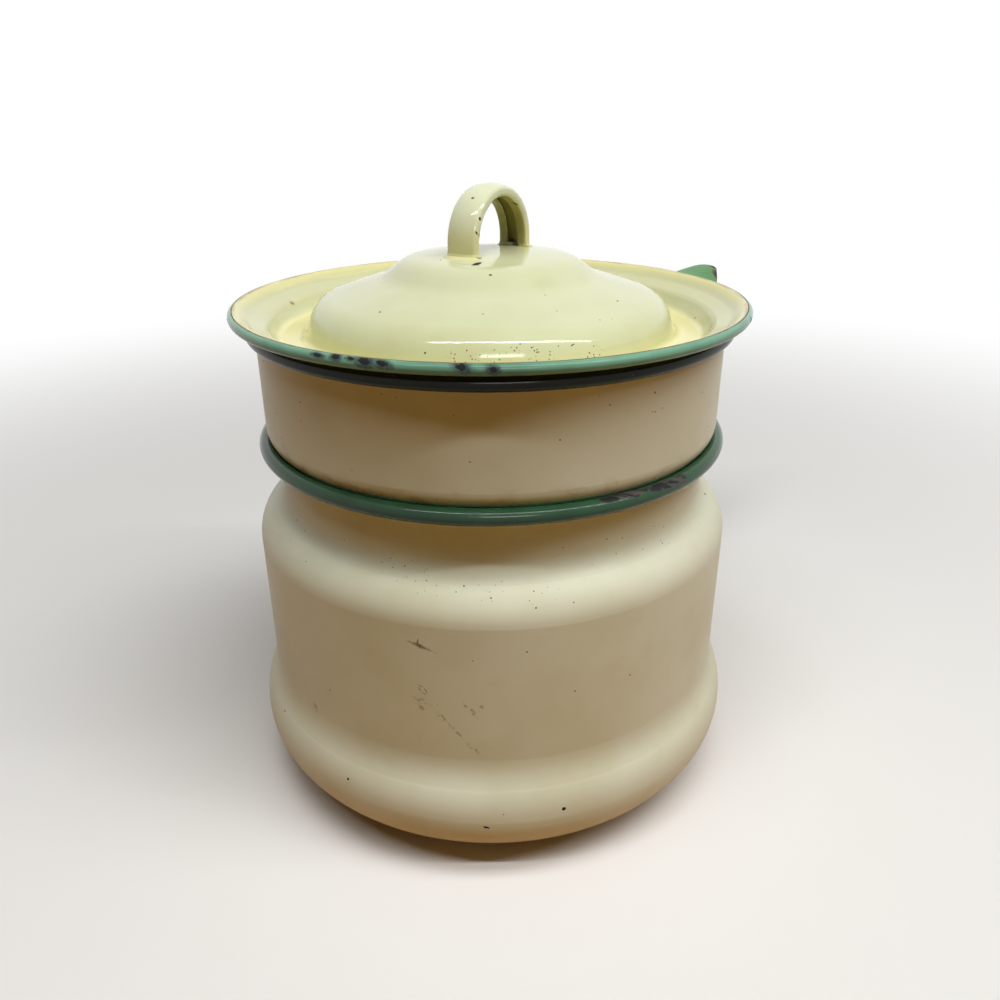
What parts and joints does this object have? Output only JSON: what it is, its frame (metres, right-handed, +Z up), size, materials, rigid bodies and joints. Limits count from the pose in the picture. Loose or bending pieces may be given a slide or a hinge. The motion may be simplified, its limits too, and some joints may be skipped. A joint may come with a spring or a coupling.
{
  "type": "double boiler",
  "caption": "Enamelled double boiler: bulged lower pan, stepped upper pan that stands in its mouth, domed lid with strap handle, long handles.",
  "frame": {"origin": "centre of the lower pan's flat base, which stands on the hob", "axes": "+Z up along the pans' common axis, +X towards the tips of both long handles"},
  "size_m": [0.3155, 0.1872, 0.2177],
  "materials": {
    "body_enamel": "glossy cream vitreous enamel",
    "lid_enamel": "glossy pale yellow vitreous enamel",
    "rim_dark_green": "glossy dark green vitreous enamel",
    "rim_light_green": "glossy light green vitreous enamel, chipped",
    "handle_green": "glossy mid green vitreous enamel",
    "rim_wire": "plain drawn wire"
  },
  "bodies": {
    "lower_pan": {"lower_pan_shell": "body_enamel", "lower_rim_bead": "rim_dark_green", "lower_rim_wire": "rim_wire", "lower_handle_grip": "handle_green", "lower_handle_base": "handle_green", "lower_handle_saddle": "handle_green"},
    "upper_pan": {"upper_pan_shell": "body_enamel", "upper_rim_bead": "rim_dark_green", "upper_rim_wire": "rim_wire", "upper_handle_grip": "handle_green", "upper_handle_base": "handle_green", "upper_handle_saddle": "handle_green"},
    "lid": {"lid_shell": "lid_enamel", "lid_rim_bead": "rim_light_green", "lid_rim_wire": "rim_wire", "lid_strap_handle": "lid_enamel"}
  },
  "joints": [
    {"name": "upper_pan_lift", "type": "slide", "parent": "lower_pan", "child": "upper_pan", "axis": [0, 0, 1], "range_m": [0, 0.1]},
    {"name": "lid_lift", "type": "slide", "parent": "upper_pan", "child": "lid", "axis": [0, 0, 1], "range_m": [0, 0.06]}
  ]
}
